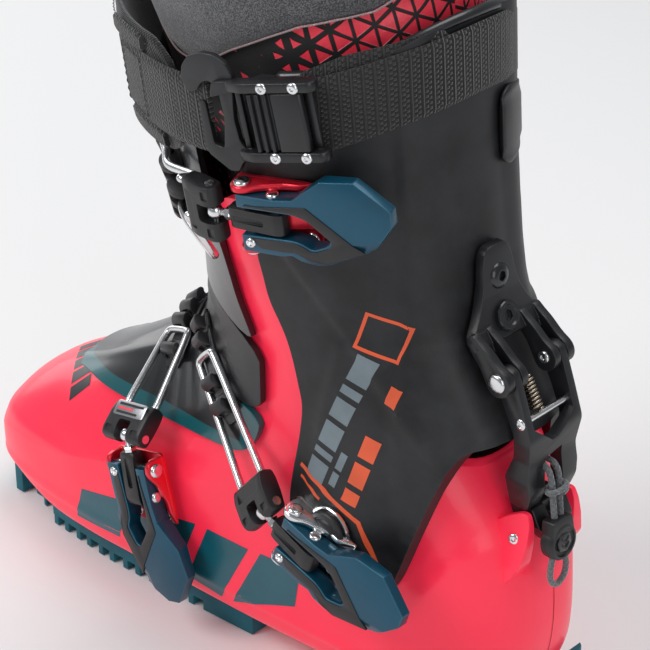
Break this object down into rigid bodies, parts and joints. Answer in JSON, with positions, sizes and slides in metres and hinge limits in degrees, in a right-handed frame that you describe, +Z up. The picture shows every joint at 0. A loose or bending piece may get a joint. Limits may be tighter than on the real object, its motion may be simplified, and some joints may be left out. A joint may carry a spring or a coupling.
{
  "type": "ski boot",
  "caption": "Left hard-shell ski boot with hinged cuff, wire-bail buckles, power strap, soft liner, lugged sole and a rear walk-mode lever.",
  "frame": {"origin": "on the floor under the sole, on the boot's centre line, halfway along the sole", "axes": "+X from the toe to the heel, +Y towards the wearer's other foot (medial side), +Z up"},
  "size_m": [0.3246, 0.1428, 0.3425],
  "materials": {
    "pink_plastic": "satin gloss",
    "charcoal_plastic": "matte",
    "black_plastic": "satin",
    "petrol_alu": "anodised satin",
    "red_metal": "gloss",
    "steel": "polished",
    "teal_rubber": "matte",
    "liner_foam": "soft textile",
    "webbing": "woven",
    "grey_cord": "braided"
  },
  "bodies": {
    "shell": {"lower_shell": "pink_plastic", "sole_toe": "teal_rubber", "sole_heel": "teal_rubber", "sole_screws": "steel", "toe_insert": "steel", "heel_insert": "steel", "boot_board": "charcoal_plastic", "liner_foot": "liner_foam", "tongue_lower": "charcoal_plastic", "tongue_bellows": "charcoal_plastic", "toe_ladder": "black_plastic", "ankle_ladder": "black_plastic", "cuff_pivots": "black_plastic", "toe_base": "red_metal", "instep_base": "steel", "catch_block": "black_plastic", "base_rivets": "steel"},
    "cuff": {"cuff": "charcoal_plastic", "pivot_bushings": "steel", "liner_shaft": "liner_foam", "tongue_upper": "charcoal_plastic", "top_ladder": "black_plastic", "top_base": "red_metal", "power_strap": "webbing", "strap_pad": "liner_foam", "strap_hook": "black_plastic", "cam_frame": "charcoal_plastic", "strap_screws": "steel", "walk_bracket": "charcoal_plastic", "bracket_bolts": "black_plastic", "walk_pin": "steel", "rear_spoiler": "liner_foam", "top_rivets": "steel"},
    "toe_lever": {"toe_lever": "petrol_alu", "toe_lever_inlay": "black_plastic", "toe_pins": "steel"},
    "toe_arm": {"toe_arm": "black_plastic", "toe_eyebolt": "steel"},
    "toe_bail": {"toe_block": "black_plastic", "toe_bail": "steel"},
    "instep_lever": {"instep_lever": "petrol_alu", "instep_lever_inlay": "black_plastic", "instep_pins": "steel"},
    "instep_arm": {"instep_arm": "black_plastic", "instep_eyebolt": "steel"},
    "instep_bail": {"instep_block": "black_plastic", "instep_bail": "steel"},
    "top_lever": {"top_lever": "petrol_alu", "top_lever_inlay": "black_plastic", "top_pins": "steel"},
    "top_arm": {"top_arm": "black_plastic", "top_eyebolt": "steel"},
    "top_bail": {"top_block": "black_plastic", "top_bail": "steel"},
    "cam_lever": {"cam_lever": "black_plastic"},
    "walk_lever": {"walk_lever": "black_plastic", "lever_rod": "steel", "lever_spring": "steel", "pull_cord": "grey_cord", "cord_lock": "black_plastic"}
  },
  "joints": [
    {"name": "cuff_flex", "type": "hinge", "parent": "shell", "child": "cuff", "pos_m": [0.085, 0, 0.097], "axis": [0, -1, 0], "range_deg": [0, 8], "deforming": ["tongue_bellows"]},
    {"name": "toe_lever_open", "type": "hinge", "parent": "shell", "child": "toe_lever", "pos_m": [-0.0285, -0.06, 0.079], "axis": [-0.9659, 0, -0.2588], "range_deg": [0, 125]},
    {"name": "toe_arm_follow", "type": "hinge", "parent": "toe_lever", "child": "toe_arm", "pos_m": [-0.02514, -0.06, 0.06644], "axis": [-0.9659, 0, -0.2588], "range_deg": [-125, 0]},
    {"name": "toe_bail_lift", "type": "hinge", "parent": "toe_arm", "child": "toe_bail", "pos_m": [-0.03238, -0.06, 0.09349], "axis": [0.9781, 0, 0.2079], "range_deg": [0, 30]},
    {"name": "instep_lever_open", "type": "hinge", "parent": "shell", "child": "instep_lever", "pos_m": [0.0687, -0.0625, 0.0904], "axis": [-0.2924, 0, -0.9563], "range_deg": [0, 125]},
    {"name": "instep_arm_follow", "type": "hinge", "parent": "instep_lever", "child": "instep_arm", "pos_m": [0.08113, -0.0625, 0.0866], "axis": [-0.2924, 0, -0.9563], "range_deg": [-125, 0]},
    {"name": "instep_bail_lift", "type": "hinge", "parent": "instep_arm", "child": "instep_bail", "pos_m": [0.05436, -0.0625, 0.09479], "axis": [0.6428, 0, 0.766], "range_deg": [0, 30]},
    {"name": "top_lever_open", "type": "hinge", "parent": "cuff", "child": "top_lever", "pos_m": [0.053, -0.0665, 0.232], "axis": [0.0627, 0.151, -0.9865], "range_deg": [0, 125]},
    {"name": "top_arm_follow", "type": "hinge", "parent": "top_lever", "child": "top_arm", "pos_m": [0.06552, -0.06326, 0.23329], "axis": [0.0627, 0.151, -0.9865], "range_deg": [-125, 0]},
    {"name": "top_bail_lift", "type": "hinge", "parent": "top_arm", "child": "top_bail", "pos_m": [0.03855, -0.07024, 0.23051], "axis": [-0.0627, -0.151, 0.9865], "range_deg": [0, 30]},
    {"name": "cam_lever_open", "type": "hinge", "parent": "cuff", "child": "cam_lever", "pos_m": [0.05908, -0.06516, 0.27397], "axis": [0.1689, 0.0951, -0.981], "range_deg": [0, 70]},
    {"name": "walk_lever_open", "type": "hinge", "parent": "cuff", "child": "walk_lever", "pos_m": [0.14, 0, 0.1735], "axis": [0, -1, 0], "range_deg": [0, 70]}
  ],
  "couplings": [
    {"joint": "toe_arm_follow", "follows": "toe_lever_open", "ratio": -1},
    {"joint": "instep_arm_follow", "follows": "instep_lever_open", "ratio": -1},
    {"joint": "top_arm_follow", "follows": "top_lever_open", "ratio": -1}
  ]
}
